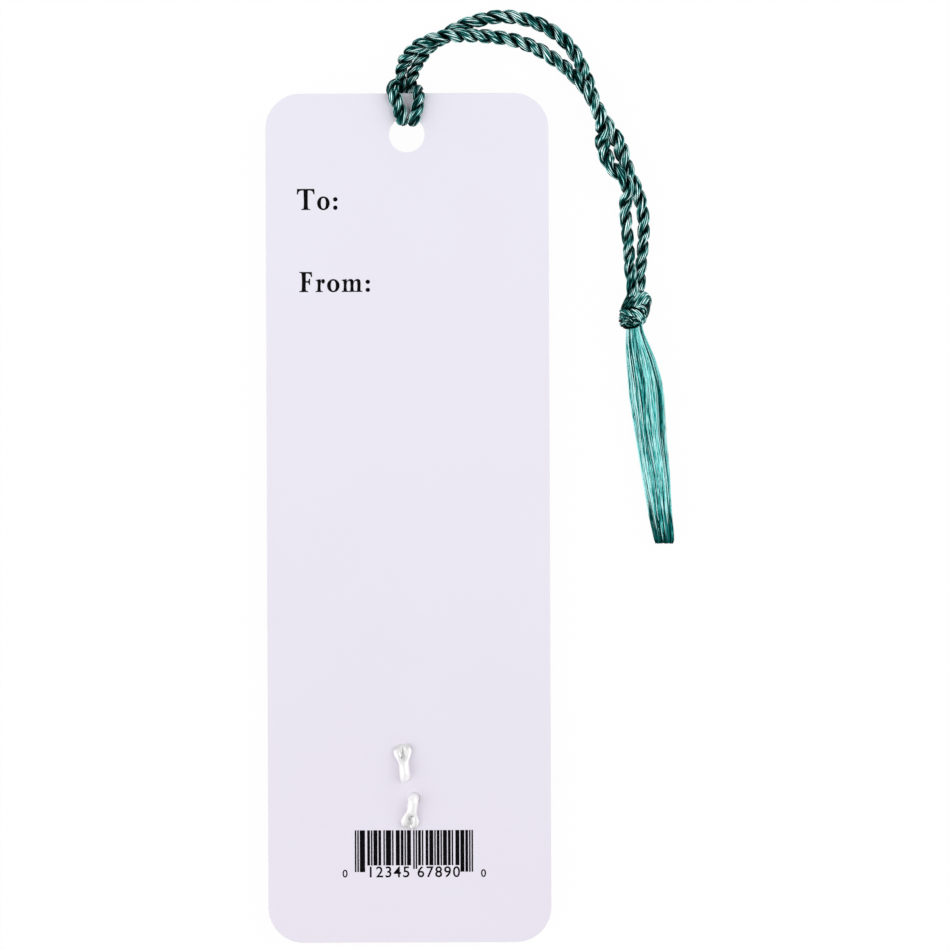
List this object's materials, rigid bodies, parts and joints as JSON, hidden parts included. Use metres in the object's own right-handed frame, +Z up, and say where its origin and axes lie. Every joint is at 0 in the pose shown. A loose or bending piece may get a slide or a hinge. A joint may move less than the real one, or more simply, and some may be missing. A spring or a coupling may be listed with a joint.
{
  "type": "tasselled bookmark",
  "caption": "Flat card bookmark with rounded corners, a punched end, a looped twisted cord with a knotted tassel, and a metal ornament held by bent posts.",
  "frame": {"origin": "on the table, under the middle of the card, which lies on its front", "axes": "+X to the card's right seen from above, +Y along the card to its punched end, +Z up from the table through the card's back"},
  "size_m": [0.073, 0.1673, 0.0053],
  "materials": {
    "board": "smooth coated board",
    "metal": "bright soft white metal",
    "cord": "silky laid rayon cord, deep teal",
    "fringe": "silky loose rayon threads, light teal"
  },
  "bodies": {
    "card": {"card": "board", "front_ornament": "metal", "ornament_post_upper": "metal", "ornament_post_lower": "metal", "hitch_loop": "cord"},
    "cord_neck": {"neck_inner": "cord", "neck_outer": "cord"},
    "cord": {"strand_inner": "cord", "strand_outer": "cord"},
    "tassel": {"tassel_knot": "cord", "tassel_fringe": "fringe"}
  },
  "joints": [
    {"name": "cord_flip", "type": "hinge", "parent": "card", "child": "cord_neck", "pos_m": [0, 0.0794, 0.00265], "axis": [0, -1, 0], "range_deg": [0, 180]},
    {"name": "cord_swing", "type": "hinge", "parent": "cord_neck", "child": "cord", "pos_m": [0.0052, 0.0857, 0.00265], "axis": [0, 0, 1], "range_deg": [-4, 80], "deforming": ["neck_inner", "neck_outer"]},
    {"name": "tassel_swing", "type": "hinge", "parent": "cord", "child": "tassel", "pos_m": [0.0408, 0.0371, 0.0027], "axis": [0, 0, 1], "range_deg": [-12, 60]}
  ]
}
